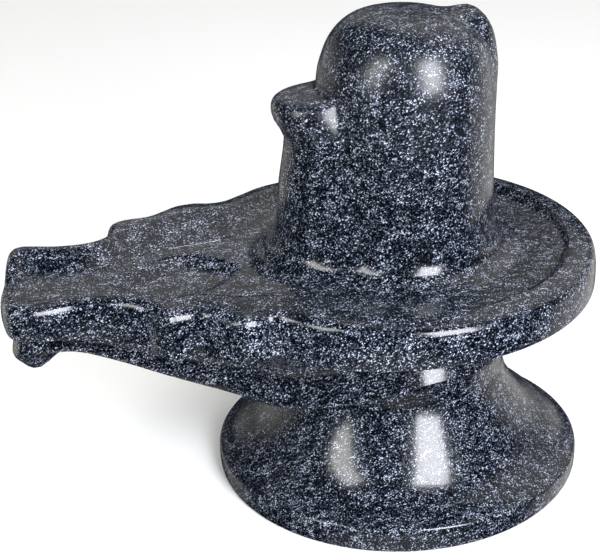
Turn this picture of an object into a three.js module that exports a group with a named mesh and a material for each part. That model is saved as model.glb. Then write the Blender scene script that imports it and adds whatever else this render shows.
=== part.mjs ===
// A lingam on its yoni base, carved and polished from one block of dark granite.
// Units are millimetres, +Z is up, and the pouring spout points along -X.
// The stone stands on the flat underside of its round foot, whose centre is the origin.
// Its skin is one closed stack of rings. Each ring goes once round the stone, and a ring is a
// circle where the stone was turned, and follows the dish and spout where it was cut by hand.

import * as THREE from "three";

// Sizes that drive the stone
const DISH_RADIUS = 83.1;
const BORDER_FOOT_RADIUS = 66.6;
const BAND_RADIUS = 48.9;
const NECK_RADIUS = 45.6;
const NECK_HEIGHT = 46.3;
const WALL_TOP = 102.8;
const WALL_UNDERCUT = 4.4;
const CREST_DISH = 103.8;
const CREST_SPOUT = 102.7;
const BASIN_FLOOR = 100;
const CHANNEL_FLOOR = 96.7;
const CHANNEL_FALL = 0.8;
const SHAFT_FOOT_RADIUS = 50.4;
const SHAFT_FOOT_HEIGHT = 100.2;
const SHAFT_TOP = 198.9;
const SHAFT_LEAN = 3.4;

// The shaft is a little longer than round, along this angle
const SHAFT_OVAL = 0.038;
const SHAFT_OVAL_ANGLE = THREE.MathUtils.degToRad(-59);

// The foot was left thinner at the back: its rim is lower there, and its flare a little slimmer
const FOOT_FRONT = THREE.MathUtils.degToRad(-110);
const FOOT_DROOP = 0.66;
const FOOT_DROOP_RADIUS = [66, 79];
const FOOT_SLIMMING = [[13, 0], [20, 1.2], [27, 2.4], [37, 2.4], [41.6, 1.2], [46.3, 0]];

// Lobe that hangs down at the end of the keel
const LOBE_DEPTH = 17.6;
const LOBE_PLACE = 152.8;
const LOBE_LENGTH = 11.6;
const LOBE_WIDTH = 14;

// Leaf-shaped hollow in the floor of the spout, with a thin raised line round it
const LEAF_PLACE = 93.6;
const LEAF_SIDE = -1.6;
const LEAF_HALF_LENGTH = 27.2;
const LEAF_HALF_WIDTH = 18.6;
const LEAF_TAPER = 0.25;
const LEAF_DEPTH = 3;
const LEAF_SLOPE = 15;
const LEAF_EDGE = 0.6;
const LEAF_END = 2.4;
const LEAF_LINE_PLACE = 1;
const LEAF_LINE_HEIGHT = 0.7;
const LEAF_LINE_WIDTH = 1.5;

// Distances out: where the basin's floor falls to the channel's, and the channel's own slight fall
const BASIN_END = [34, 76];
const CHANNEL_REACH = [72, 160];

// Distances out between which the border's crest comes down, and where the tip's mouth starts
const CREST_REACH = [80, 112];
const MOUTH_START = 152;
const MOUTH_SIDE = [9.6, 20.8];
const MOUTH_LIP = 0.4;

// Steps round the back of the dish, and stations to each step
const ROUND_STEPS = 16;
const ROUND_SUBSTEPS = 2;

// Spout outline seen from above: distance out along the spout, distance to one side
const SPOUT_FAR = [
  [37.6, 75.2], [49.6, 70.6], [59.2, 64], [66.4, 59.2], [72, 58.4], [79.2, 59.8], [88, 58.2],
  [95.2, 53.4], [100.8, 50], [110.4, 48.8], [117, 44.8], [118.8, 36.4], [121.2, 31.6], [128, 28.6],
  [138.4, 28.6], [147.2, 30.6], [153.6, 31.4], [158.4, 27.6], [160, 16],
];
const SPOUT_NEAR = [
  [37.6, 74], [48, 67], [56, 59.6], [61.6, 56.4], [68, 58.6], [74.4, 58.8], [81.6, 53],
  [87.6, 47.6], [94.4, 47.4], [100.4, 48.4], [104.4, 44], [107.6, 38], [114, 34], [124, 30.4],
  [133.6, 29.2], [144, 31], [151.6, 31.6], [158.4, 28], [161.2, 16],
];
const SPOUT_TIP = 162;

// The same for the inner foot of the raised border, which bounds the basin and the channel
const BORDER_FAR = [
  [34.4, 57], [43, 49.6], [51, 42.4], [58, 35], [65, 29.4], [72, 26.6], [80, 25.2], [87.6, 24.4],
  [95.2, 23], [102.4, 20.6], [108.8, 17.8], [114, 15.4], [120, 13.4], [127, 12], [135.2, 12.2],
  [143.4, 13.6], [150.4, 15], [155.2, 14], [158.6, 8.6],
];
const BORDER_NEAR = [
  [34.4, 57], [43, 49.6], [51, 43], [57.6, 37], [64, 33.4], [71, 31.8], [78.6, 30.6], [85.6, 29.4],
  [92, 27.8], [97.6, 25.4], [103.2, 22], [108.4, 18.6], [115, 14.8], [123.6, 11.4], [133, 9.4],
  [143, 9], [150.4, 10], [155.2, 10.6], [158.6, 8],
];
const BORDER_TIP = 160.6;

// The band under the dish, round at the back and drawn out into a keel under the spout
const BAND_SIDE = [
  [22.4, 44.8], [30.4, 43.6], [37.6, 42], [44.8, 40], [52, 37.6], [59.2, 34], [66.4, 28.8],
  [73.6, 24], [80, 22], [88, 21.2], [96, 20.8], [103.2, 20.4], [110.4, 19.6], [118.4, 18.8],
  [127.2, 18], [136, 17.6], [144, 17.4], [151.4, 15.6], [157.6, 10.4],
];
const BAND_TIP = 160.2;

// Height of the band's edge by distance out along the spout
const BAND_EDGE = [
  [-24, 57.3], [0, 55.5], [22, 51.6], [40, 48.6], [58, 47.8], [69, 48.9], [79, 51.8], [97, 59.3],
  [117, 68.4], [136, 76], [156, 80.2],
];

// Turned foot, flare and neck: radius, height
const FOOT_PROFILE = [
  [78.6, 0], [79.4, 1], [79.5, 9], [78, 11.2], [72.2, 12.7], [66.4, 15.9], [60.8, 21.1],
  [56.1, 27.3], [52.3, 33.1], [49.2, 38.5], [NECK_RADIUS, NECK_HEIGHT],
];

// The band's edge: how far in from its outline, height above its lowest line
const EDGE_PROFILE = [[2.8, 0], [0, 1.4]];

// Sloping face above the edge: how far in, share of the height up to the rim
const SHOULDER_PROFILE = [[1, 0.08], [4, 0.28], [4.8, 0.36]];

// Share of the shoulder's slope by distance out: it is steeper along the spout than at the neck
const SHOULDER_SLOPE = [[30, 1], [43, 0.8], [55, 0.6], [67, 0.4], [80, 0.25]];

// Height of the rim's lower edge by distance out along the spout
const WALL_BOTTOM = [[-60, 86.6], [0, 86], [55, 83.3], [118, 82.7], [150, 89.3], [165, 89.9]];

// Power by which the underside climbs from the shoulder to the rim
const UNDERSIDE_CURVE = 0.55;

// Rim of dish and spout: how far in from the outline, share of the wall's height
const WALL_PROFILE = [
  [1.8, 0], [0.3, 0.07], [0, 0.3], [0.2, 0.6], [1, 0.84], [2.8, 0.96], [5, 1],
];

// Share of the border's width that its flat top takes, by distance out: near side, far side
const LEDGE_NEAR = [[40, 0.56], [62, 0.62], [92, 0.6], [112, 0.3], [124, 0.12]];
const LEDGE_FAR = [[40, 0.56], [60, 0.34], [92, 0.26], [116, 0.3], [124, 0.16]];

// How sharply the border falls to the floor, by distance out: 1 is straight, 2 hollow
const DROP_POWER = [[40, 2], [66, 1.3], [160, 1.2]];

// Turned shaft and its dome: radius, height
const SHAFT_PROFILE = [
  [44.6, 101.5], [42.2, 102.8], [40.4, 104.8], [39.2, 107.6], [38.3, 113], [37.2, 126.3],
  [36.5, 138.3], [35.9, 150.3], [35.6, 157.4], [35.4, 162.3], [35.2, 166.4], [35.1, 167.8],
  [35, 168.9], [34.8, 171.4], [34.4, 175.7], [33, 180.9], [31.2, 185.7], [28.8, 189.7],
  [25.8, 193.1], [22, 195.8], [16.4, 197.7],
];

// Steps of the skin: neck to band, shoulder to rim, border's top, border's drop, border to shaft
const KEEL_STEPS = [0.4, 0.7, 0.86, 0.95];
const UNDERSIDE_STEPS = [0.16, 0.4, 0.7, 1];
const LEDGE_STEPS = [0.5, 1];
const DROP_STEPS = [0.3, 0.62, 1];
const FLOOR_STEPS = [0.12, 0.26, 0.42, 0.58, 0.74, 0.88, 1];

// Serpent on the spout side of the shaft, by height: how far it stands out, half the angle that it
// takes round the shaft, and the power of its fading to the sides
const SERPENT_DEPTH = [
  [93, 13], [99, 12.6], [106, 13.4], [120, 13], [132, 13.2], [143, 12.4], [150, 12], [154, 13.8],
  [157.4, 16.4], [161.4, 18], [164.6, 18.2], [166.4, 17.2], [167.4, 15.2], [168, 11], [168.5, 4],
  [169, 0],
];
const SERPENT_HALF_ANGLE = [
  [97, 1], [129, 0.85], [148, 0.72], [155, 0.62], [161, 0.54], [167, 0.48], [169, 0.44],
];
const SERPENT_BLUNTNESS = [[145, 1.7], [154, 1.1], [162, 0.8], [168, 0.8]];

// Rib up the back of the shaft, ending in a knob on the dome: how far it stands out, and the
// distance from its middle at which it has faded, by height
const RIB_DEPTH = [
  [89, 2.4], [161, 2.4], [171, 3.2], [181, 4.6], [187.7, 5.8], [192.5, 6.4], [194.5, 5.8],
  [196.1, 3], [197.3, 0],
];
const RIB_REACH = [[161, 24], [181, 12.5], [193, 10.5]];
const RIB_CREST = 3;

// Heights between which the shaft leans over, and between which the carving turns with the dome
const LEAN_REACH = [97, 209];
const DOME_TURN = [168, 176];

const { smoothstep, lerp, clamp } = THREE.MathUtils;

// Straight-line reading of a list of [place, value] pairs
function readOff(pairs, place) {
  if (place <= pairs[0][0]) {
    return pairs[0][1];
  }
  for (let i = 1; i < pairs.length; i += 1) {
    const [x0, y0] = pairs[i - 1];
    const [x1, y1] = pairs[i];
    if (place <= x1) {
      return lerp(y0, y1, (place - x0) / (x1 - x0));
    }
  }
  return pairs.at(-1)[1];
}

// Closed outline: the near start of the spout, round the back, the far side, the tip, the near side
function closedOutline(near, far, tip, roundRadius, roundAngles) {
  const arc = roundAngles.slice(1, -1).map(
    (angle) => new THREE.Vector3(roundRadius * Math.cos(angle), roundRadius * Math.sin(angle), 0),
  );
  const farSide = far.map(([out, side]) => new THREE.Vector3(-out, side, 0));
  const nearSide = near.map(([out, side]) => new THREE.Vector3(-out, -side, 0));
  const points = [nearSide[0], ...arc, ...farSide, new THREE.Vector3(-tip, 0, 0)];
  points.push(...nearSide.slice(1).reverse());
  return new THREE.CatmullRomCurve3(points, true, "catmullrom", 0.5);
}

// One column of the skin for every station round the stone
function makeColumns() {
  const [startOut, startSide] = SPOUT_FAR[0];
  const spoutHalfAngle = Math.atan2(startSide, startOut);
  const roundEnd = Math.PI - spoutHalfAngle;
  const roundAngles = [];
  for (let i = 0; i <= ROUND_STEPS; i += 1) {
    roundAngles.push(lerp(-roundEnd, roundEnd, i / ROUND_STEPS));
  }
  const wall = closedOutline(SPOUT_NEAR, SPOUT_FAR, SPOUT_TIP, DISH_RADIUS, roundAngles);
  const border = closedOutline(BORDER_NEAR, BORDER_FAR, BORDER_TIP, BORDER_FOOT_RADIUS, roundAngles);
  const band = closedOutline(BAND_SIDE, BAND_SIDE, BAND_TIP, BAND_RADIUS, roundAngles);
  const sideSteps = SPOUT_FAR.length;
  const stations = [];
  for (let i = 0; i < ROUND_STEPS * ROUND_SUBSTEPS; i += 1) {
    const step = i / ROUND_SUBSTEPS;
    stations.push({ step, angle: lerp(-roundEnd, roundEnd, step / ROUND_STEPS) });
  }
  for (let i = 0; i < 2 * sideSteps; i += 1) {
    stations.push({ step: ROUND_STEPS + i, angle: roundEnd + (spoutHalfAngle * i) / sideSteps });
  }
  const total = wall.points.length;
  return stations.map(({ step, angle }) => {
    const tangent = wall.getTangent(step / total);
    const bandTangent = band.getTangent(step / total);
    return {
      angle,
      edge: wall.getPoint(step / total),
      outward: new THREE.Vector3(tangent.y, -tangent.x, 0),
      border: border.getPoint(step / total),
      band: band.getPoint(step / total),
      bandOutward: new THREE.Vector3(bandTangent.y, -bandTangent.x, 0),
    };
  });
}

// Height of the band's edge, less the lobe, at a place of the band's outline
function bandEdge({ band }) {
  return readOff(BAND_EDGE, -band.x) - lobeAt(band);
}

// How far the lobe hangs down: a bell curve along the spout and across it
function lobeAt({ x, y }) {
  return LOBE_DEPTH * Math.exp(-(((-x - LOBE_PLACE) / LOBE_LENGTH) ** 2) - (y / LOBE_WIDTH) ** 2);
}

// Floor of basin and channel, with the leaf-shaped hollow and the line round it
function floorHeight({ x, y }) {
  const out = -x;
  const basin = lerp(BASIN_FLOOR, CHANNEL_FLOOR, smoothstep(out, ...BASIN_END));
  const level = basin - CHANNEL_FALL * smoothstep(out, ...CHANNEL_REACH);
  const fromMiddle = Math.abs(out - LEAF_PLACE);
  const place = clamp((out - LEAF_PLACE) / LEAF_HALF_LENGTH, -1, 1);
  const halfWidth = LEAF_HALF_WIDTH * (1 - place * place) * (1 - LEAF_TAPER * place);
  const beyond = Math.abs(y - LEAF_SIDE) - halfWidth;
  const within = fromMiddle < LEAF_HALF_LENGTH ? 1 - smoothstep(beyond, -LEAF_SLOPE, LEAF_EDGE) : 0;
  const line = Math.exp(-(((beyond - LEAF_LINE_PLACE) / LEAF_LINE_WIDTH) ** 2));
  const [fadeStart, fadeEnd] = [LEAF_HALF_LENGTH - LEAF_END, LEAF_HALF_LENGTH + LEAF_END];
  const lineReach = 1 - smoothstep(fromMiddle, fadeStart, fadeEnd);
  return level - LEAF_DEPTH * within + LEAF_LINE_HEIGHT * line * lineReach;
}

// How far the carving stands out from the turned shaft
function carvingDepth(angle, radius, height) {
  const fromSpout = Math.abs(Math.atan2(-Math.sin(angle), -Math.cos(angle)));
  const fromBack = Math.cos(angle) > 0 ? radius * Math.abs(Math.sin(angle)) : radius;
  const share = Math.min(fromSpout / readOff(SERPENT_HALF_ANGLE, height), 1);
  const fade = (1 - share * share) ** readOff(SERPENT_BLUNTNESS, height);
  const ribFade = 1 - smoothstep(fromBack, RIB_CREST, readOff(RIB_REACH, height));
  return readOff(SERPENT_DEPTH, height) * fade + readOff(RIB_DEPTH, height) * ribFade;
}

// The shaft's radius as a share of the turned one: longer one way than the other
function roundness(angle) {
  return 1 + SHAFT_OVAL * Math.cos(2 * (angle - SHAFT_OVAL_ANGLE));
}

// A point at an angle round the axis
function around(angle, radius, height) {
  return new THREE.Vector3(radius * Math.cos(angle), radius * Math.sin(angle), height);
}

// Rings of the turned foot and neck, lower and slimmer towards the back
function footRings(columns) {
  return FOOT_PROFILE.map(([radius, height]) => columns.map(({ angle }) => {
    const back = 0.5 - 0.5 * Math.cos(angle - FOOT_FRONT);
    const loss = FOOT_DROOP * smoothstep(radius, ...FOOT_DROOP_RADIUS);
    const slimmed = radius - readOff(FOOT_SLIMMING, height) * back;
    return around(angle, slimmed, height * (1 - loss * back));
  }));
}

// A point of the band's outline moved in by an inset
function bandPoint({ band, bandOutward }, inset) {
  return band.clone().addScaledVector(bandOutward, -inset);
}

// A point of the shoulder moved in by an inset, less far along the spout
function shoulderPoint(column, inset) {
  return bandPoint(column, inset * readOff(SHOULDER_SLOPE, -column.band.x));
}

// Rings of the keel's underside, in straight lines from the neck out to the band, with the lobe
function keelRings(columns) {
  return KEEL_STEPS.map((share) => columns.map((column) => {
    const point = around(column.angle, NECK_RADIUS, NECK_HEIGHT);
    const end = bandPoint(column, EDGE_PROFILE[0][0]).setZ(readOff(BAND_EDGE, -column.band.x));
    point.lerp(end, share);
    return point.setZ(point.z - lobeAt(point));
  }));
}

// Rings of the band's edge
function edgeRings(columns) {
  return EDGE_PROFILE.map(([inset, up]) => columns.map((column) => {
    const point = bandPoint(column, inset);
    return point.setZ(readOff(BAND_EDGE, -column.band.x) - lobeAt(point) + up);
  }));
}

// Height on the way from the top of the band's edge to the rim's lower edge
function betweenBandAndRim(column, share) {
  return lerp(bandEdge(column) + EDGE_PROFILE.at(-1)[1], readOff(WALL_BOTTOM, -column.edge.x), share);
}

// Rings of the shoulder above the band's edge
function shoulderRings(columns) {
  return SHOULDER_PROFILE.map(([inset, share]) => columns.map(
    (column) => shoulderPoint(column, inset).setZ(betweenBandAndRim(column, share)),
  ));
}

// Rings of the underside, from the shoulder out to the rim
function undersideRings(columns) {
  const [inset, reached] = SHOULDER_PROFILE.at(-1);
  return UNDERSIDE_STEPS.map((share) => columns.map((column) => {
    const end = column.edge.clone().addScaledVector(column.outward, -WALL_UNDERCUT);
    const point = shoulderPoint(column, inset).lerp(end, share);
    return point.setZ(betweenBandAndRim(column, lerp(reached, 1, share ** UNDERSIDE_CURVE)));
  }));
}

// How far a station of the outline belongs to the open mouth at the tip
function mouthShare({ edge }) {
  return -edge.x > MOUTH_START ? 1 - smoothstep(Math.abs(edge.y), ...MOUTH_SIDE) : 0;
}

// Height of the crest of the border, which comes down to the floor at the open mouth
function crestHeight(column) {
  const crest = lerp(CREST_DISH, CREST_SPOUT, smoothstep(-column.edge.x, ...CREST_REACH));
  return lerp(crest, floorHeight(column.border) + MOUTH_LIP, mouthShare(column));
}

// Height at which the rim's outer face ends
function wallTop(column) {
  return lerp(WALL_TOP, crestHeight(column) - MOUTH_LIP, mouthShare(column));
}

// Rings of the rounded rim
function wallRings(columns) {
  return WALL_PROFILE.map(([inset, share]) => columns.map((column) => {
    const point = column.edge.clone().addScaledVector(column.outward, -inset);
    return point.setZ(lerp(readOff(WALL_BOTTOM, -column.edge.x), wallTop(column), share));
  }));
}

// A point on the way from the rim's top edge to the border's foot
function borderPoint(column, share) {
  const inset = WALL_PROFILE.at(-1)[0];
  return column.edge.clone().addScaledVector(column.outward, -inset).lerp(column.border, share);
}

// Share of the border's width that its flat top takes
function ledgeShare({ edge }) {
  return readOff(edge.y > 0 ? LEDGE_FAR : LEDGE_NEAR, -edge.x);
}

// Rings of the border: its flat top, then the drop to the floor
function borderRings(columns) {
  const flat = LEDGE_STEPS.map((share) => columns.map((column) => {
    const top = lerp(wallTop(column), crestHeight(column), Math.sin(0.5 * Math.PI * share));
    return borderPoint(column, share * ledgeShare(column)).setZ(top);
  }));
  const drop = DROP_STEPS.map((share) => columns.map((column) => {
    const left = (1 - share) ** readOff(DROP_POWER, -column.edge.x);
    const height = lerp(floorHeight(column.border), crestHeight(column), left);
    return borderPoint(column, lerp(ledgeShare(column), 1, share)).setZ(height);
  }));
  return [...flat, ...drop];
}

// Rings of the floor, from the border in to the foot of the shaft
function floorRings(columns) {
  return FLOOR_STEPS.map((share) => columns.map(({ angle, border }) => {
    const carving = carvingDepth(angle, SHAFT_FOOT_RADIUS, SHAFT_FOOT_HEIGHT);
    const end = around(angle, SHAFT_FOOT_RADIUS * roundness(angle) + carving, 0);
    const point = border.clone().lerp(end, share);
    return point.setZ(floorHeight(point));
  }));
}

// How far the shaft's centre has moved back at a height
function leanAt(height) {
  return SHAFT_LEAN * smoothstep(height, ...LEAN_REACH);
}

// Rings of the shaft and dome: the carving is laid on level below the dome, and square to the
// turned surface on it
function shaftRings(columns) {
  const profile = SHAFT_PROFILE.map(([radius, height]) => new THREE.Vector2(radius, height));
  return profile.map((station, i) => {
    const before = profile[Math.max(i - 1, 0)];
    const after = profile[Math.min(i + 1, profile.length - 1)];
    const along = after.clone().sub(before).normalize();
    const square = new THREE.Vector2(along.y, -along.x);
    const normal = new THREE.Vector2(1, 0).lerp(square, smoothstep(station.y, ...DOME_TURN));
    return columns.map(({ angle }) => {
      const depth = carvingDepth(angle, station.x, station.y);
      const radius = station.x * roundness(angle) + depth * normal.x;
      const point = around(angle, radius, station.y + depth * normal.y);
      return point.setX(point.x + leanAt(station.y));
    });
  });
}

// Closed skin over a stack of rings, with a single point at each end
function skinOver(rings, lowPoint, highPoint) {
  const count = rings[0].length;
  const points = [lowPoint, ...rings.flat(), highPoint];
  const triangles = [];
  const at = (ring, column) => 1 + ring * count + (column % count);
  for (let column = 0; column < count; column += 1) {
    triangles.push(0, at(0, column + 1), at(0, column));
    triangles.push(points.length - 1, at(rings.length - 1, column), at(rings.length - 1, column + 1));
    for (let ring = 1; ring < rings.length; ring += 1) {
      triangles.push(at(ring - 1, column), at(ring - 1, column + 1), at(ring, column + 1));
      triangles.push(at(ring - 1, column), at(ring, column + 1), at(ring, column));
    }
  }
  const geometry = new THREE.BufferGeometry().setFromPoints(points);
  geometry.setIndex(triangles);
  geometry.computeVertexNormals();
  return geometry;
}

// The whole stone
function makeStone() {
  const columns = makeColumns();
  const rings = [
    ...footRings(columns),
    ...keelRings(columns),
    ...edgeRings(columns),
    ...shoulderRings(columns),
    ...undersideRings(columns),
    ...wallRings(columns),
    ...borderRings(columns),
    ...floorRings(columns),
    ...shaftRings(columns),
  ];
  const low = new THREE.Vector3(0, 0, 0);
  const high = new THREE.Vector3(leanAt(SHAFT_TOP), 0, SHAFT_TOP);
  const granite = new THREE.MeshStandardMaterial({ color: 0x525660, roughness: 0.16, metalness: 0 });
  const stone = new THREE.Mesh(skinOver(rings, low, high), granite);
  stone.name = "lingam_stone";
  return stone;
}

const part = new THREE.Group();
part.add(makeStone());

export default part;
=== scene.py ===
"""A lingam on its yoni base, carved and polished from one block of dark granite.

The stone is one skin: a grid of rings stacked from the underside of the foot to the top of the dome.
Each ring goes once round the stone. It is a circle where the stone was turned, and it follows the
dish and the pouring spout where the stone was cut by hand. Sizes are in millimetres, +Z is up, the
spout points along -X, and the stone stands on the origin.
"""
import logging
import math
from dataclasses import dataclass
from enum import Enum
from typing import Sequence

import bpy
import numpy as np
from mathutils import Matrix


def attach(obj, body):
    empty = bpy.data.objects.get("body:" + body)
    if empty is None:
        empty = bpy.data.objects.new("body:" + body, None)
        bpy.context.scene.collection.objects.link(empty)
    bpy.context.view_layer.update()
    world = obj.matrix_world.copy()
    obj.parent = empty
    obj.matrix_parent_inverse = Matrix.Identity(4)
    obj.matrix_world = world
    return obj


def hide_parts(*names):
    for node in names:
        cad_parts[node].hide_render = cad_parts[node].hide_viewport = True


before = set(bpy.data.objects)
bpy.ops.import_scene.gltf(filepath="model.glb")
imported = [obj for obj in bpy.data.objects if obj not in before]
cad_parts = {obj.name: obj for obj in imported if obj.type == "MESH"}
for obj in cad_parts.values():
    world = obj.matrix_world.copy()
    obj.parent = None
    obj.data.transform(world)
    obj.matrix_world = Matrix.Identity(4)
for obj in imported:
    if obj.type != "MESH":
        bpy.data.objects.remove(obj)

LOG = logging.getLogger("lingam")
NODE = "lingam_stone"
BODY = "root"
MM = 0.001

Span = tuple[float, float]
Pairs = Sequence[Span]


def rise(value: np.ndarray, low: float, high: float) -> np.ndarray:
    """Smooth step: 0 below low, 1 above high, and 3t^2 - 2t^3 of the share t between them.

    Args:
        value: places to work it out for.
        low: place where the step starts.
        high: place where the step ends.

    Returns:
        The step's height at each place.
    """
    share = np.clip((value - low) / (high - low), 0.0, 1.0)
    return share * share * (3.0 - 2.0 * share)


def blend(start: np.ndarray, end: np.ndarray, share: np.ndarray) -> np.ndarray:
    """Straight mix of two arrays: start where the share is 0, end where it is 1."""
    return start + (end - start) * share


def read_off(pairs: Pairs, places: np.ndarray, soften: float = 0.0) -> np.ndarray:
    """Reads a list of (place, value) pairs in straight lines, with its corners rounded off.

    The value is the mean of seven straight-line readings, spread over soften either way.

    Args:
        pairs: the list, in rising order of place.
        places: where to read it.
        soften: how far either way the readings are spread, in the list's own unit.

    Returns:
        The value at each place.
    """
    at, value = np.array(pairs, float).T
    offsets = np.linspace(-soften, soften, 7)
    return np.mean([np.interp(places + offset, at, value) for offset in offsets], axis=0)


def smooth_curve(points: np.ndarray, places: np.ndarray, closed: bool) -> np.ndarray:
    """Uniform Catmull-Rom curve: between two points it is the cubic whose slope at each point is
    half the step from the point before to the point after.

    Args:
        points: the points, one row each.
        places: where to read the curve, counted in points from the first one.
        closed: whether the last point joins on to the first.

    Returns:
        One row for each place.
    """
    count = len(points)
    index = np.floor(places).astype(int)
    if not closed:
        index = np.clip(index, 0, count - 2)
    part = (places - index)[:, None]

    def near(step: int) -> np.ndarray:
        """The point that many steps on from each place."""
        moved = index + step
        return points[moved % count] if closed else points[np.clip(moved, 0, count - 1)]

    before, here, after, beyond = near(-1), near(0), near(1), near(2)
    slope = 0.5 * (after - before)
    bend = before - 2.5 * here + 2.0 * after - 0.5 * beyond
    twist = 1.5 * (here - after) + 0.5 * (beyond - before)
    return here + slope * part + bend * part**2 + twist * part**3


def shares_of(steps: int) -> np.ndarray:
    """The shares of a way reached by so many even steps, without its start."""
    return np.arange(1, steps + 1) / steps


def fine_profile(points: Pairs, steps: int) -> np.ndarray:
    """The smooth curve through a short list of points, with so many steps between each two."""
    places = np.arange((len(points) - 1) * steps + 1) / steps
    return smooth_curve(np.array(points, float), places, closed=False)


def outward_of(outline: np.ndarray) -> np.ndarray:
    """Unit vectors square to a closed outline that runs anticlockwise, pointing out of it."""
    along = np.roll(outline, -1, axis=0) - np.roll(outline, 1, axis=0)
    out = np.stack([along[:, 1], -along[:, 0]], axis=1)
    return out / np.linalg.norm(out, axis=1, keepdims=True)


@dataclass(frozen=True)
class HandCutOutline:
    """An outline seen from above: an arc round the back, and a hand-cut side on each hand of the spout.

    Attributes:
        radius: radius of the arc.
        far: points of the far side, as distance out along the spout and distance to one side.
        near: the same for the near side.
        tip: how far out the outline reaches on the spout's middle line.
    """

    radius: float
    far: Pairs
    near: Pairs
    tip: float

    def points(self, round_angles: np.ndarray) -> np.ndarray:
        """The outline's points: near start, arc round the back, far side, tip, near side."""
        arc_angles = round_angles[1:-1]
        arc = self.radius * np.stack([np.cos(arc_angles), np.sin(arc_angles)], axis=1)
        far = np.array(self.far) * (-1.0, 1.0)
        near = np.array(self.near) * (-1.0, -1.0)
        return np.vstack([near[:1], arc, far, [(-self.tip, 0.0)], near[:0:-1]])


@dataclass(frozen=True)
class Columns:
    """What each column of the skin needs to know.

    Attributes:
        angle: its angle round the stone's axis.
        edge: its place on the rim's outline, seen from above.
        outward: unit vector square to that outline.
        border: its place on the line where the raised border meets the floor.
        band: its place on the outline of the band and keel.
        band_outward: unit vector square to that outline.
    """

    angle: np.ndarray
    edge: np.ndarray
    outward: np.ndarray
    border: np.ndarray
    band: np.ndarray
    band_outward: np.ndarray

    @property
    def count(self) -> int:
        """How many columns the skin has."""
        return len(self.angle)

    @property
    def ray(self) -> np.ndarray:
        """Unit vectors from the stone's axis through each column."""
        return np.stack([np.cos(self.angle), np.sin(self.angle)], axis=1)


def ring(flat: np.ndarray, height: np.ndarray | float) -> np.ndarray:
    """A ring of the skin: places seen from above, and a height for each."""
    return np.column_stack([flat, np.broadcast_to(height, len(flat))])


@dataclass(frozen=True)
class Foot:
    """The turned part below the dish: a flat round foot, a trumpet flare and a neck.

    The foot was left thinner at the back: there its rim is lower and its flare a little slimmer.

    Attributes:
        profile: radius and height, from the underside's rim up to the neck.
        steps: rings to each step of the profile.
        front: angle of the side where the foot has its full height, in degrees.
        droop: share of its height that the rim has lost at the back.
        droop_radius: radii between which the loss grows from nothing to its full share.
        slimming: how much slimmer the flare is at the back, in millimetres.
        slimming_heights: heights between which the slimming grows, and fades again.
    """

    profile: Pairs = (
        (78.2, 0), (79.1, 0.4), (79.4, 1.4), (79.5, 5), (79.4, 9.2), (78.8, 10.7), (77, 11.5),
        (72.2, 12.7), (66.4, 15.9), (60.8, 21.1), (56.1, 27.3), (52.3, 33.1), (49.2, 38.5), (47, 42.9),
        (45.6, 46.3),
    )
    steps: int = 3
    front: float = -110.0
    droop: float = 0.66
    droop_radius: Span = (66.0, 79.0)
    slimming: float = 2.4
    slimming_heights: tuple[float, float, float, float] = (13.0, 27.0, 37.0, 46.3)

    @property
    def neck(self) -> Span:
        """Radius and height of the neck's narrowest ring."""
        return self.profile[-1]

    def rings(self, columns: Columns) -> list[np.ndarray]:
        """Circles of the turned profile, lowered and slimmed by the share of the way to the back."""
        back = 0.5 - 0.5 * np.cos(columns.angle - math.radians(self.front))
        start, full, fade, end = self.slimming_heights
        rings = []
        for radius, height in fine_profile(self.profile, self.steps):
            loss = self.droop * rise(radius, *self.droop_radius)
            slim = self.slimming * rise(height, start, full) * (1.0 - rise(height, fade, end))
            flat = (radius - slim * back)[:, None] * columns.ray
            rings.append(ring(flat, height * (1.0 - loss * back)))
        return rings


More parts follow.
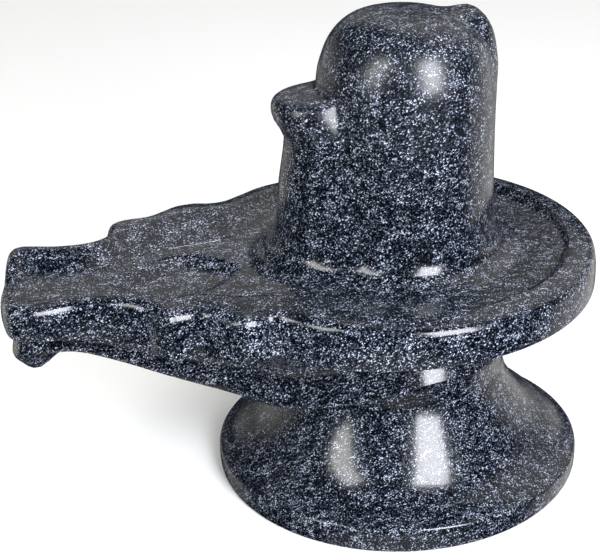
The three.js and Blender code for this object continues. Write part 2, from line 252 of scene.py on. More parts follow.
@dataclass(frozen=True)
class Keel:
    """The band round the neck, drawn out into a keel under the spout, with a lobe at its end.

    Attributes:
        edge: height of the band's edge by distance out along the spout.
        edge_softness: how far the edge's corners are rounded off, in millimetres.
        lobe_depth: how far the lobe hangs down.
        lobe_place: how far out its middle is.
        lobe_length: its length, as the bell curve's own width.
        lobe_width: its width to each side, in the same way.
        bead: the band's edge: how far in from the outline, and how far above the lowest line.
        shoulder: the sloping face above the edge: how far in, and the share of the height up to
            the rim.
        spout_steepness: share of the shoulder's slope that is left along the spout.
        spout_reach: distances out between which the shoulder changes to that.
        flat_steps: rings of the underside between the neck and the edge.
        flat_crowding: how strongly those rings are drawn together towards the edge.
        fine_steps: rings to each step of bead and shoulder.
    """

    edge: Pairs = (
        (-24, 57.3), (0, 55.5), (22, 51.6), (40, 48.6), (58, 47.6), (69, 48.6), (79, 51.4), (97, 59.3),
        (117, 68.4), (136, 76), (156, 80.6),
    )
    edge_softness: float = 6.0
    lobe_depth: float = 17.6
    lobe_place: float = 152.8
    lobe_length: float = 11.6
    lobe_width: float = 14.0
    bead: Pairs = ((2.8, 0), (0.7, 0.15), (0, 1.4))
    shoulder: Pairs = ((0.7, 0.06), (2.2, 0.16), (4, 0.28), (4.8, 0.36))
    spout_steepness: float = 0.25
    spout_reach: Span = (30.0, 80.0)
    flat_steps: int = 20
    flat_crowding: float = 1.7
    fine_steps: int = 3

    def lobe(self, flat: np.ndarray) -> np.ndarray:
        """How far the lobe hangs down at places seen from above: a bell curve both ways."""
        along = (-flat[..., 0] - self.lobe_place) / self.lobe_length
        across = flat[..., 1] / self.lobe_width
        return self.lobe_depth * np.exp(-(along**2) - across**2)

    def edge_without_lobe(self, columns: Columns) -> np.ndarray:
        """Height of the band's edge at each column, before the lobe is hung on."""
        return read_off(self.edge, -columns.band[:, 0], self.edge_softness)

    def edge_height(self, columns: Columns) -> np.ndarray:
        """Height of the band's lowest line at each column."""
        return self.edge_without_lobe(columns) - self.lobe(columns.band)

    def rings(self, columns: Columns, neck: Span) -> list[np.ndarray]:
        """The underside, ruled in straight lines from the neck to the band, then the band's edge,
        all lowered by the lobe."""
        radius, neck_height = neck
        start = radius * columns.ray
        end = columns.band - self.bead[0][0] * columns.band_outward
        straight = self.edge_without_lobe(columns)
        rings = []
        for step in range(1, self.flat_steps):
            share = 1.0 - (1.0 - step / self.flat_steps) ** self.flat_crowding
            flat = blend(start, end, share)
            rings.append(ring(flat, blend(neck_height, straight, share) - self.lobe(flat)))
        for inset, up in fine_profile(self.bead, self.fine_steps):
            flat = columns.band - inset * columns.band_outward
            rings.append(ring(flat, straight - self.lobe(flat) + up))
        return rings

    def shoulder_inset(self, columns: Columns, inset: float) -> np.ndarray:
        """How far in a place of the shoulder is: it is steeper along the spout than at the neck."""
        share = blend(1.0, self.spout_steepness, rise(-columns.band[:, 0], *self.spout_reach))
        return (inset * share)[:, None] * columns.band_outward

    def shoulder_rings(self, columns: Columns, rim_height: np.ndarray) -> list[np.ndarray]:
        """The face that slopes in from the band's edge, up towards the height of the rim."""
        low = self.edge_height(columns) + self.bead[-1][1]
        return [
            ring(columns.band - self.shoulder_inset(columns, inset), blend(low, rim_height, share))
            for inset, share in fine_profile(self.shoulder, self.fine_steps)
        ]


@dataclass(frozen=True)
class Channel:
    """The floor of the basin and the spout, with the leaf-shaped hollow cut into it.

    Attributes:
        basin_level: height of the basin's floor.
        level: height of the spout's floor, where it starts.
        basin_end: distances out between which the floor comes down from one to the other.
        fall: how much lower the spout's floor is at its end.
        spout_start: distance out at which that fall starts.
        spout_end: distance out at which it ends.
        leaf_place: how far out the leaf's middle is.
        leaf_side: distance of its middle line to the far side, negative to the near side.
        leaf_half_length: half its length.
        leaf_half_width: half its width at the middle.
        leaf_taper: share by which it is narrower towards the tip, and wider towards the basin.
        bowl_depth: depth of its smooth hollow.
        bowl_slope: width of the slope down from its edge.
        step_depth: depth of the crisp step at its edge.
        step_width: width of that step.
    """

    basin_level: float = 100.0
    level: float = 96.7
    basin_end: Span = (34.0, 76.0)
    fall: float = 0.8
    spout_start: float = 72.0
    spout_end: float = 160.0
    leaf_place: float = 93.6
    leaf_side: float = -1.6
    leaf_half_length: float = 27.2
    leaf_half_width: float = 18.6
    leaf_taper: float = 0.25
    bowl_depth: float = 3.0
    bowl_slope: float = 9.0
    step_depth: float = 0.8
    step_width: float = 1.4

    def height(self, flat: np.ndarray) -> np.ndarray:
        """Height of the floor: level, with a slight fall along the spout, less the leaf-shaped
        hollow, which is a smooth bowl within a crisp step. Seen from above, the leaf's half width
        is a parabola of the place along it, a little wider towards the basin.

        Args:
            flat: places seen from above.

        Returns:
            The height at each place.
        """
        out, side = -flat[..., 0], np.abs(flat[..., 1] - self.leaf_side)
        level = blend(self.basin_level, self.level, rise(out, *self.basin_end))
        level = level - self.fall * rise(out, self.spout_start, self.spout_end)
        place = np.clip((out - self.leaf_place) / self.leaf_half_length, -1.0, 1.0)
        half_width = self.leaf_half_width * (1.0 - place**2) * (1.0 - self.leaf_taper * place)
        beyond = side - half_width
        bowl = self.bowl_depth * (1.0 - rise(beyond, -self.bowl_slope, 0.0))
        step = self.step_depth * (1.0 - rise(beyond, -self.step_width, 0.0))
        return level - bowl - step


@dataclass(frozen=True)
class Dish:
    """The dish and its spout: underside, rim, raised border and floor.

    Attributes:
        channel: the floor.
        wall_top: height at which the rim's outer face ends.
        wall_bottom: height of the rim's lower edge by distance out along the spout.
        crest_dish: height of the border's crest round the dish.
        crest_spout: height of the crest along the spout.
        crest_change: distances out between which the crest goes from one height to the other.
        crest_lift: how far the crest stands over the floor at the mouth, and over the rim's face.
        mouth_start: distance out at which the open mouth starts.
        mouth_sides: distances to the side between which the mouth changes to the border.
        undercut: how far in from the outline the underside reaches the rim's lower edge.
        wall: the rim's outer face: how far in, and the share of its height.
        ledge: share of the border's width that its flat top takes, by distance out.
        ledge_wing: the same on the far side of the spout.
        drop: how sharply the border falls to the floor, by distance out: 1 is a straight slope, and
            2 a steep step that runs out in a hollow.
        bottom_softness: how far the corners of wall_bottom are rounded off, in millimetres.
        border_softness: the same for ledge, ledge_wing and drop.
        far_change: distance to either side of the middle in which ledge gives way to ledge_wing.
        underside_curve: power by which the underside climbs from the shoulder to the rim.
        underside_crowding: power that draws its rings together towards the shoulder.
        underside_steps: rings from the shoulder out to the rim.
        wall_steps: rings to each step of the wall.
        ledge_steps: rings of the border's flat top.
        drop_steps: rings from there down to the floor.
        floor_steps: rings of the floor.
    """

    channel: Channel = Channel()
    wall_top: float = 102.8
    wall_bottom: Pairs = ((-60, 86.6), (0, 86), (55, 83.3), (118, 82.7), (150, 89.3), (165, 89.9))
    crest_dish: float = 103.8
    crest_spout: float = 102.7
    crest_change: Span = (80.0, 112.0)
    crest_lift: float = 0.4
    mouth_start: float = 152.0
    mouth_sides: Span = (9.6, 20.8)
    undercut: float = 4.4
    wall: Pairs = (
        (1.8, 0), (0.5, 0.03), (0.1, 0.1), (0, 0.3), (0.2, 0.6), (1, 0.84), (2.8, 0.96), (5, 1),
    )
    ledge: Pairs = ((40, 0.56), (62, 0.62), (92, 0.6), (112, 0.3), (124, 0.12), (160, 0.12))
    ledge_wing: Pairs = ((40, 0.56), (60, 0.34), (92, 0.26), (116, 0.3), (124, 0.16), (160, 0.16))
    drop: Pairs = ((40, 2.0), (66, 1.3), (160, 1.2))
    bottom_softness: float = 8.0
    border_softness: float = 4.0
    far_change: float = 4.0
    underside_curve: float = 0.55
    underside_crowding: float = 1.3
    underside_steps: int = 16
    wall_steps: int = 4
    ledge_steps: int = 8
    drop_steps: int = 14
    floor_steps: int = 54

    def bottom(self, columns: Columns) -> np.ndarray:
        """Height of the rim's lower edge, which comes down along the spout and rises to its tip."""
        return read_off(self.wall_bottom, -columns.edge[:, 0], self.bottom_softness)

    def mouth(self, columns: Columns) -> np.ndarray:
        """How far each column belongs to the open mouth at the tip, from 0 to 1."""
        share = 1.0 - rise(np.abs(columns.edge[:, 1]), *self.mouth_sides)
        return np.where(columns.edge[:, 0] < -self.mouth_start, share, 0.0)

    def crest(self, columns: Columns) -> np.ndarray:
        """Height of the border's crest, which comes down to the floor at the open mouth."""
        along = rise(-columns.edge[:, 0], *self.crest_change)
        crest = blend(self.crest_dish, self.crest_spout, along)
        low = self.channel.height(columns.border) + self.crest_lift
        return blend(crest, low, self.mouth(columns))

    def top(self, columns: Columns) -> np.ndarray:
        """Height at which the rim's outer face ends, which is the crest's own at the mouth."""
        return blend(self.wall_top, self.crest(columns) - self.crest_lift, self.mouth(columns))

    def underside_rings(self, columns: Columns, keel: Keel) -> list[np.ndarray]:
        """From the shoulder out to the rim, straight seen from above. The height climbs by a power
        of the share of the way, so that it is steeper at the shoulder than at the rim."""
        inset, reached = keel.shoulder[-1]
        start = columns.band - keel.shoulder_inset(columns, inset)
        end = columns.edge - self.undercut * columns.outward
        high = self.bottom(columns)
        low = blend(keel.edge_height(columns) + keel.bead[-1][1], high, reached)
        shares = shares_of(self.underside_steps) ** self.underside_crowding
        climbs = shares**self.underside_curve
        return [
            ring(blend(start, end, share), blend(low, high, climb))
            for share, climb in zip(shares, climbs)
        ]

    def wall_rings(self, columns: Columns) -> list[np.ndarray]:
        """The rim's outer face: insets from the outline, at shares of the wall's height."""
        bottom, top = self.bottom(columns), self.top(columns)
        fine = fine_profile(self.wall, self.wall_steps)
        return [ring(columns.edge - inset * columns.outward, blend(bottom, top, up)) for inset, up in fine]

    def border_rings(self, columns: Columns) -> list[np.ndarray]:
        """From the rim's top edge over the border's flat top, then down to the floor. What is left
        of the height falls by a power of what is left of the way."""
        out, soft = -columns.edge[:, 0], self.border_softness
        far = rise(columns.edge[:, 1], -self.far_change, self.far_change)
        ledge = blend(read_off(self.ledge, out, soft), read_off(self.ledge_wing, out, soft), far)[:, None]
        power = read_off(self.drop, out, soft)
        start = columns.edge - self.wall[-1][0] * columns.outward
        floor, crest, top = self.channel.height(columns.border), self.crest(columns), self.top(columns)
        rings = []
        for share in shares_of(self.ledge_steps):
            flat = blend(start, columns.border, share * ledge)
            rings.append(ring(flat, blend(top, crest, math.sin(0.5 * math.pi * share))))
        for share in shares_of(self.drop_steps):
            flat = blend(start, columns.border, ledge + (1.0 - ledge) * share)
            rings.append(ring(flat, blend(floor, crest, (1.0 - share) ** power)))
        return rings

    def floor_rings(self, columns: Columns, shaft_foot: np.ndarray) -> list[np.ndarray]:
        """From the border in to the foot of the shaft, on the floor's own height."""
        flats = [blend(columns.border, shaft_foot, share) for share in shares_of(self.floor_steps)]
        return [ring(flat, self.channel.height(flat)) for flat in flats]


@dataclass(frozen=True)
class Shaft:
    """The turned shaft and dome, with the serpent on its spout side and the rib up its back.

    Attributes:
        foot_radius: radius at which the shaft's hollow foot meets the floor.
        foot_height: height there.
        lean: how far back the shaft leans at the upper of lean_heights.
        lean_heights: heights between which the lean grows.
        top: height of the dome.
        oval: how much longer than round the shaft is, as a share of its radius.
        oval_angle: angle of its longer axis, in degrees.
        profile: radius and height, from the foot to the top of the dome.
        serpent_depth: how far the serpent stands out, by height.
        serpent_half_angle: half the angle that it takes round the shaft, by height.
        serpent_bluntness: power of its fading to the sides, by height: low where its sides are blunt.
        serpent_softness: how far the corners of serpent_depth are rounded off.
        rib_depth: how far the rib stands out, by height.
        rib_reach: distance from the rib's middle at which it has faded, by height.
        rib_core: distance from its middle up to which it has its full depth.
        rib_softness: how far the corners of rib_depth are rounded off.
        outline_softness: the same for the lists of the carvings' widths.
        turning: heights between which the carvings turn from level to square to the profile.
        steps: rings to each step of the profile.
    """

    foot_radius: float = 50.4
    foot_height: float = 100.2
    lean: float = 3.4
    lean_heights: Span = (97.0, 209.0)
    top: float = 198.9
    oval: float = 0.038
    oval_angle: float = -59.0
    profile: Pairs = (
        (47.4, 100.7), (44.6, 101.5), (42.2, 102.8), (40.4, 104.8), (39.2, 107.6), (38.5, 111.4),
        (37.9, 117), (37.2, 126.3), (36.5, 138.3), (35.9, 150.3), (35.6, 158.3), (35.4, 162.3),
        (35.25, 165.2), (35.15, 166.8), (35.1, 167.6), (35.05, 168.2), (35, 168.8), (34.9, 170.6),
        (34.4, 175.7), (33, 180.9), (31.2, 185.7), (28.8, 189.7), (25.8, 193.1), (22, 195.8),
        (17.4, 197.5), (12, 198.4),
    )
    serpent_depth: Pairs = (
        (93, 13), (99, 12.6), (106, 13.4), (120, 13), (132, 13.2), (143, 12.4), (150, 12),
        (154, 13.8), (157.4, 16.4), (161.4, 18), (164.6, 18.2), (166.4, 17.2), (167.4, 15.2),
        (168, 11), (168.5, 4), (169, 0),
    )
    serpent_half_angle: Pairs = (
        (97, 1), (129, 0.85), (148, 0.72), (155, 0.62), (161, 0.54), (167, 0.48), (169, 0.44),
    )
    serpent_bluntness: Pairs = ((145, 1.7), (154, 1.1), (162, 0.8), (168, 0.8))
    serpent_softness: float = 0.5
    rib_depth: Pairs = (
        (89, 2.4), (161, 2.4), (171, 3.2), (181, 4.6), (187.7, 5.8), (192.5, 6.4), (194.5, 5.8),
        (196.1, 3), (197.3, 0),
    )
    rib_reach: Pairs = ((161, 24), (181, 12.5), (193, 10.5))
    rib_core: float = 3.0
    rib_softness: float = 1.2
    outline_softness: float = 2.0
    turning: Span = (168.0, 176.0)
    steps: int = 2

    def carving(self, angle: np.ndarray, radius: float, height: float) -> np.ndarray:
        """How far the carving stands out from the turned shaft. With u as the share of the way to
        the serpent's side, it fades by a power of 1 - u^2. The rib fades by a smooth step of the
        distance from its middle.

        Args:
            angle: angles round the shaft.
            radius: the turned shaft's radius there.
            height: the height.

        Returns:
            The depth of the carving at each angle.
        """
        from_spout = np.abs(np.angle(-np.exp(1j * angle)))
        from_back = np.where(np.cos(angle) > 0.0, radius * np.abs(np.sin(angle)), radius)
        soft = self.outline_softness
        share = np.minimum(from_spout / read_off(self.serpent_half_angle, height, soft), 1.0)
        fade = (1.0 - share**2) ** read_off(self.serpent_bluntness, height, soft)
        serpent = read_off(self.serpent_depth, height, self.serpent_softness) * fade
        reach = read_off(self.rib_reach, height, soft)
        near = 1.0 - rise(from_back, self.rib_core, reach)
        return serpent + read_off(self.rib_depth, height, self.rib_softness) * near

    def roundness(self, angle: np.ndarray) -> np.ndarray:
        """The shaft's radius as a share of the turned one: longer one way than the other."""
        return 1.0 + self.oval * np.cos(2.0 * (angle - math.radians(self.oval_angle)))

    def lean_at(self, height: np.ndarray) -> np.ndarray:
        """How far the shaft's centre has moved back at a height."""
        return self.lean * rise(np.asarray(height), *self.lean_heights)

    def foot(self, columns: Columns) -> np.ndarray:
        """Outline of the shaft's foot, where the floor meets it."""
        radius = self.foot_radius * self.roundness(columns.angle)
        radius = radius + self.carving(columns.angle, self.foot_radius, self.foot_height)
        return radius[:, None] * columns.ray

    def rings(self, columns: Columns) -> list[np.ndarray]:
        """The turned profile, with the carving laid on square to it: level below the dome, and
        along the profile's own normal higher up."""
        fine = fine_profile(self.profile, self.steps)
        along = np.gradient(fine, axis=0)
        normal = np.stack([along[:, 1], -along[:, 0]], axis=1)
        normal /= np.linalg.norm(normal, axis=1, keepdims=True)
        level = (1.0 - rise(fine[:, 1], *self.turning))[:, None]
        normal = blend(normal, np.array([1.0, 0.0]), level)
        rings = []
        for (radius, height), (out, up) in zip(fine, normal):
            depth = self.carving(columns.angle, radius, height)
            flat = (radius * self.roundness(columns.angle) + depth * out)[:, None] * columns.ray
            flat[:, 0] += self.lean_at(height)
            rings.append(ring(flat, height + depth * up))
        return rings


@dataclass(frozen=True)
class Stone:
    """The whole stone.

    Attributes:
        foot: the turned foot and neck.
        keel: the band round the neck and the keel under the spout.
        dish: the dish and the spout.
        shaft: the shaft and dome with their carvings.
        rim: the rim's outline.
        border: the line where the raised border meets the floor.
        band_side: each side of the keel, as distance out and distance to one side.
        band_radius: radius of the band round the neck.
        band_tip: how far out the keel reaches.
        round_steps: steps of each outline's arc round the back.
        round_substeps: columns to each step of the arc.
        spout_substeps: columns to each step of the spout's sides.
    """

    foot: Foot = Foot()
    keel: Keel = Keel()
    dish: Dish = Dish()
    shaft: Shaft = Shaft()
    rim: HandCutOutline = HandCutOutline(
        radius=83.1,
        far=(
            (37.6, 75.2), (49.6, 70.6), (59.2, 64), (66.4, 59.2), (72, 58.4), (79.2, 59.8), (88, 58.2),
            (95.2, 53.4), (100.8, 50), (110.4, 48.8), (117, 44.8), (118.8, 36.4), (121.2, 31.6),
            (128, 28.6), (138.4, 28.6), (147.2, 30.6), (153.6, 31.4), (158.4, 27.6), (160, 16),
        ),
        near=(
            (37.6, 74), (48, 67), (56, 59.6), (61.6, 56.4), (68, 58.6), (74.4, 58.8), (81.6, 53),
            (87.6, 47.6), (94.4, 47.4), (100.4, 48.4), (104.4, 44), (107.6, 38), (114, 34), (124, 30.4),
            (133.6, 29.2), (144, 31), (151.6, 31.6), (158.4, 28), (161.2, 16),
        ),
        tip=162.0,
    )
    border: HandCutOutline = HandCutOutline(
        radius=66.6,
        far=(
            (34.4, 57), (43, 49.6), (51, 42.4), (58, 35), (65, 29.4), (72, 26.6), (80, 25.2), (87.6, 24.4),
            (95.2, 23), (102.4, 20.6), (108.8, 17.8), (114, 15.4), (120, 13.4), (127, 12), (135.2, 12.2),
            (143.4, 13.6), (150.4, 15), (155.2, 14), (158.6, 8.6),
        ),
        near=(
            (34.4, 57), (43, 49.6), (51, 43), (57.6, 37), (64, 33.4), (71, 31.8), (78.6, 30.6), (85.6, 29.4),
            (92, 27.8), (97.6, 25.4), (103.2, 22), (108.4, 18.6), (115, 14.8), (123.6, 11.4), (133, 9.4),
            (143, 9), (150.4, 10), (155.2, 10.6), (158.6, 8),
        ),
        tip=160.6,
    )
    band_side: Pairs = (
        (22.4, 44.8), (30.4, 43.6), (37.6, 42), (44.8, 40), (52, 37.6), (59.2, 34), (66.4, 28.8),
        (73.6, 24), (80, 22), (88, 21.2), (96, 20.8), (103.2, 20.4), (110.4, 19.6), (118.4, 18.8),
        (127.2, 18), (136, 17.6), (144, 17.4), (151.4, 15.6), (157.6, 10.4),
    )
    band_radius: float = 48.9
    band_tip: float = 160.2
    round_steps: int = 16
    round_substeps: int = 10
    spout_substeps: int = 6

    def columns(self) -> Columns:
        """The skin's columns, in even steps round the back and closer steps along the spout."""
        start_out, start_side = self.rim.far[0]
        half_angle = math.atan2(start_side, start_out)
        round_end = math.pi - half_angle
        round_angles = np.linspace(-round_end, round_end, self.round_steps + 1)
        side_steps = len(self.rim.far)
        back = np.arange(self.round_steps * self.round_substeps) / self.round_substeps
        spout = np.arange(2 * side_steps * self.spout_substeps) / self.spout_substeps
        places = np.concatenate([back, self.round_steps + spout])
        back_angles = blend(-round_end, round_end, back / self.round_steps)
        angle = np.concatenate([back_angles, round_end + half_angle * spout / side_steps])
        band_outline = HandCutOutline(self.band_radius, self.band_side, self.band_side, self.band_tip)
        edge = smooth_curve(self.rim.points(round_angles), places, closed=True)
        border = smooth_curve(self.border.points(round_angles), places, closed=True)
        band = smooth_curve(band_outline.points(round_angles), places, closed=True)
        return Columns(angle, edge, outward_of(edge), border, band, outward_of(band))

    def rings(self) -> np.ndarray:
        """Every ring of the skin in order, as an array of rings, columns and coordinates."""
        columns = self.columns()
        return np.array([
            *self.foot.rings(columns),
            *self.keel.rings(columns, self.foot.neck),
            *self.keel.shoulder_rings(columns, self.dish.bottom(columns)),
            *self.dish.underside_rings(columns, self.keel),
            *self.dish.wall_rings(columns),
            *self.dish.border_rings(columns),
            *self.dish.floor_rings(columns, self.shaft.foot(columns)),
            *self.shaft.rings(columns),
        ])

    def build(self) -> bpy.types.Object:
        """Makes the stone's mesh, with one point closing each end of the stack of rings."""
        low = np.array([0.0, 0.0, 0.0])
        high = np.array([float(self.shaft.lean_at(self.shaft.top)), 0.0, self.shaft.top])
        return skin_over("carved_stone", self.rings() * MM, low * MM, high * MM)


def add_object(name: str, data: bpy.types.ID) -> bpy.types.Object:
    """Adds an object that shows a mesh, a lamp or a camera to the scene."""
    thing = bpy.data.objects.new(name, data)
    bpy.context.scene.collection.objects.link(thing)
    return thing


def skin_over(name: str, rings: np.ndarray, low: np.ndarray, high: np.ndarray) -> bpy.types.Object:
    """Closed skin over a stack of rings: a four-sided face between each two neighbours of two
    rings, and a fan of three-sided faces to a single point at each end.

    Args:
        name: name of the object and of its mesh.
        rings: array of rings, columns and coordinates, in metres.
        low: the point that closes the first ring.
        high: the point that closes the last ring.

    Returns:
        The new object, linked to the scene.
    """
    ring_count, count, _ = rings.shape
    points = np.vstack([low, rings.reshape(-1, 3), high])
    here = np.arange(count)
    after = (here + 1) % count
    first = 1 + np.arange(ring_count - 1)[:, None] * count
    quads = np.stack([first + here, first + after, first + count + after, first + count + here], -1)
    last = 1 + (ring_count - 1) * count
    bottom = np.stack([np.zeros(count, int), 1 + after, 1 + here], -1)
    top = np.stack([np.full(count, len(points) - 1), last + here, last + after], -1)
    faces = quads.reshape(-1, 4).tolist() + bottom.tolist() + top.tolist()
    mesh = bpy.data.meshes.new(name)
    mesh.from_pydata(points.tolist(), [], faces)
    mesh.polygons.foreach_set("use_smooth", np.ones(len(faces), bool))
    mesh.update()
    return add_object(name, mesh)


def linear(colour: str) -> tuple[float, float, float, float]:
    """Turns an sRGB hex colour into linear red, green and blue, with an alpha of 1."""
    parts = [int(colour[i : i + 2], 16) / 255.0 for i in (1, 3, 5)]
    values = [p / 12.92 if p <= 0.04045 else ((p + 0.055) / 1.055) ** 2.4 for p in parts]
    return (*values, 1.0)


def add_node(tree: bpy.types.NodeTree, kind: str, settings: dict | None = None,
             links: dict | None = None) -> bpy.types.Node:
    """Adds one node with its settings and its links.

    Args:
        tree: the tree it goes into.
        kind: the node's type name.
        settings: values by name, for the node's own properties or for its input sockets.
        links: output sockets by the name or number of the input that each goes to.

    Returns:
        The new node.
    """
    node = tree.nodes.new(kind)
    for name, value in (settings or {}).items():
        if isinstance(name, str) and hasattr(node, name):
            setattr(node, name, value)
        else:
            node.inputs[name].default_value = value
    for name, source in (links or {}).items():
        tree.links.new(source, node.inputs[name])
    return node


def mapped(tree: bpy.types.NodeTree, value: bpy.types.NodeSocket, start: Span,
           end: Span) -> bpy.types.NodeSocket:
    """Maps a value in a straight line from one range to another, and holds it within the second."""
    settings = {"From Min": start[0], "From Max": start[1], "To Min": end[0], "To Max": end[1]}
    return add_node(tree, "ShaderNodeMapRange", settings, {"Value": value}).outputs["Result"]


@dataclass(frozen=True)
class PolishedGranite:
    """Fine-grained dark granite, ground and polished by hand. The eye gets near-black and pale
    blue-grey grains side by side, under a clear gloss that mirrors the lamps with soft edges. On
    the dome and the serpent's head, which are touched most, the gloss is duller and glows.

    Attributes:
        grain: width of one mineral grain, in millimetres.
        mottle: width and length of the fine mottling, in millimetres.
        mottle_slant: how far the mottling slants down, in degrees.
        mottle_share: share of the mottling in a grain's chance of being pale.
        mottle_range: values of the mottling's noise that make the chance 0 and 1.
        cloud: width of the patches where one mineral is more common, in millimetres.
        streak: width and length of the faint streaks in the block, in millimetres.
        streak_slant: how far the streaks slant down, in degrees.
        lean: how much a patch or a streak adds to the chance, or takes from it.
        lean_range: values of their noise that take the most and add the most.
        chance_range: chances that get the darkest colour and the palest.
        stops: colour by share of the grains, from the darkest mineral to the palest.
        relief: how far the hard grains stand above the soft ones after polishing, in millimetres.
        roughness: roughness of the polish, and of the duller polish higher up.
        touched: heights between which the polish grows duller, in millimetres.
        ior: index of refraction of quartz and feldspar.
    """

    grain: float = 0.44
    mottle: Span = (0.42, 1.2)
    mottle_slant: float = 40.0
    mottle_share: float = 0.42
    mottle_range: Span = (0.28, 0.72)
    cloud: float = 6.0
    streak: Span = (1.8, 9.0)
    streak_slant: float = 12.0
    lean: float = 0.16
    lean_range: Span = (0.3, 0.7)
    chance_range: Span = (0.12, 0.88)
    stops: tuple[tuple[float, str], ...] = (
        (0.0, "#010104"), (0.32, "#020408"), (0.5, "#070b13"), (0.66, "#212733"),
        (0.82, "#4c5362"), (1.0, "#b4bbca"),
    )
    relief: float = 0.014
    roughness: Span = (0.14, 0.29)
    touched: Span = (120.0, 158.0)
    ior: float = 1.54

    def material(self) -> bpy.types.Material:
        """Builds the granite: each grain takes one colour by chance, and the chance leans to dark
        or to pale with the clouds and the streaks."""
        granite = bpy.data.materials.new("polished_granite")
        granite.use_nodes = True
        tree = granite.node_tree
        tree.nodes.clear()
        place = add_node(tree, "ShaderNodeTexCoord").outputs["Object"]
        grains = add_node(
            tree, "ShaderNodeTexVoronoi", {"Scale": 1.0 / (self.grain * MM)}, {"Vector": place}
        )
        grain_chance = add_node(tree, "ShaderNodeSeparateColor", {}, {"Color": grains.outputs["Color"]})
        mottle = self.stretched_noise(tree, place, self.mottle, self.mottle_slant)
        chance = add_node(
            tree, "ShaderNodeMix", {"data_type": "FLOAT", "Factor": self.mottle_share},
            {2: grain_chance.outputs["Red"], 3: mapped(tree, mottle, self.mottle_range, (0.0, 1.0))},
        )
        clouds = add_node(
            tree, "ShaderNodeTexNoise", {"Scale": 1.0 / (self.cloud * MM), "Detail": 3.0}, {"Vector": place}
        )
        streaks = self.stretched_noise(tree, place, self.streak, self.streak_slant)
        leaning = add_node(
            tree, "ShaderNodeMix", {"data_type": "FLOAT", "Factor": 0.5},
            {2: clouds.outputs["Fac"], 3: streaks},
        )
        lean = mapped(tree, leaning.outputs[0], self.lean_range, (-self.lean, self.lean))
        leant = add_node(
            tree, "ShaderNodeMath", {"operation": "ADD"}, {0: chance.outputs[0], 1: lean}
        )
        spread = mapped(tree, leant.outputs[0], self.chance_range, (0.0, 1.0))
        ramp = add_node(tree, "ShaderNodeValToRGB", {}, {"Fac": spread})
        self.fill_ramp(ramp.color_ramp)
        relief = add_node(
            tree, "ShaderNodeBump", {"Strength": 1.0, "Distance": self.relief * MM},
            {"Height": chance.outputs[0]},
        )
        height = add_node(tree, "ShaderNodeSeparateXYZ", {}, {"Vector": place}).outputs["Z"]
        low, high = self.touched
        dullness = mapped(tree, height, (low * MM, high * MM), self.roughness)
        surface = add_node(
            tree, "ShaderNodeBsdfPrincipled", {"IOR": self.ior, "Metallic": 0.0},
            {"Base Color": ramp.outputs["Color"], "Normal": relief.outputs["Normal"],
             "Roughness": dullness},
        )
        add_node(tree, "ShaderNodeOutputMaterial", {}, {"Surface": surface.outputs["BSDF"]})
        return granite

    def stretched_noise(self, tree: bpy.types.NodeTree, place: bpy.types.NodeSocket,
                        size: Span, slant: float) -> bpy.types.NodeSocket:
        """Noise drawn out along one direction of the block.

        Args:
            tree: the material's tree.
            place: the places on the stone.
            size: width and length of its patches, in millimetres.
            slant: how far their length slants down, in degrees.

        Returns:
            The socket with the noise.
        """
        width, length = size
        turned = add_node(
            tree, "ShaderNodeMapping", {"Rotation": (0.0, math.radians(slant), 0.0)}, {"Vector": place}
        )
        scaled = add_node(
            tree, "ShaderNodeMapping",
            {"Scale": (1.0 / (length * MM), 1.0 / (width * MM), 1.0 / (width * MM))},
            {"Vector": turned.outputs[0]},
        )
        noise = add_node(
            tree, "ShaderNodeTexNoise", {"Scale": 1.0, "Detail": 2.0}, {"Vector": scaled.outputs[0]}
        )
        return noise.outputs["Fac"]

    def fill_ramp(self, ramp: bpy.types.ColorRamp) -> None:
        """Puts the mineral colours on a colour ramp."""
        while len(ramp.elements) > 1:
            ramp.elements.remove(ramp.elements[-1])
        for place, colour in self.stops:
            stop = ramp.elements[0] if place == self.stops[0][0] else ramp.elements.new(place)
            stop.position = place
            stop.color = linear(colour)


@dataclass(frozen=True)
class PaperFloor:
    """The studio's floor: a wide sheet of matt white paper, which gives an even pale ground.

    Attributes:
        width: width of the sheet, in metres.
        colour: colour of the paper.
        roughness: roughness of the paper.
    """

    width: float = 8.0
    colour: str = "#fcfcfb"
    roughness: float = 0.9

    def build(self) -> bpy.types.Object:
        """Lays the sheet level with the underside of the foot."""
        half = self.width / 2.0
        corners = [(-half, -half, 0.0), (half, -half, 0.0), (half, half, 0.0), (-half, half, 0.0)]
        mesh = bpy.data.meshes.new("paper_floor")
        mesh.from_pydata(corners, [], [(0, 1, 2, 3)])
        floor = add_object("paper_floor", mesh)
        paper = bpy.data.materials.new("matt_paper")
        paper.use_nodes = True
        shader = paper.node_tree.nodes["Principled BSDF"]
        shader.inputs["Base Color"].default_value = linear(self.colour)
        shader.inputs["Roughness"].default_value = self.roughness
        mesh.materials.append(paper)
        floor.visible_glossy = False
        return floor


def heading(azimuth: float, elevation: float) -> tuple[float, float, float]:
    """Unit vector towards an azimuth, in degrees round from -Y to +X, and an elevation in degrees."""
    turn, lift = math.radians(azimuth), math.radians(elevation)
    return (math.sin(turn) * math.cos(lift), -math.cos(turn) * math.cos(lift), math.sin(lift))


class Seen(Enum):
    """Whether the stone's gloss mirrors a lamp."""

    MIRRORED = "mirrored"
    HIDDEN = "hidden"


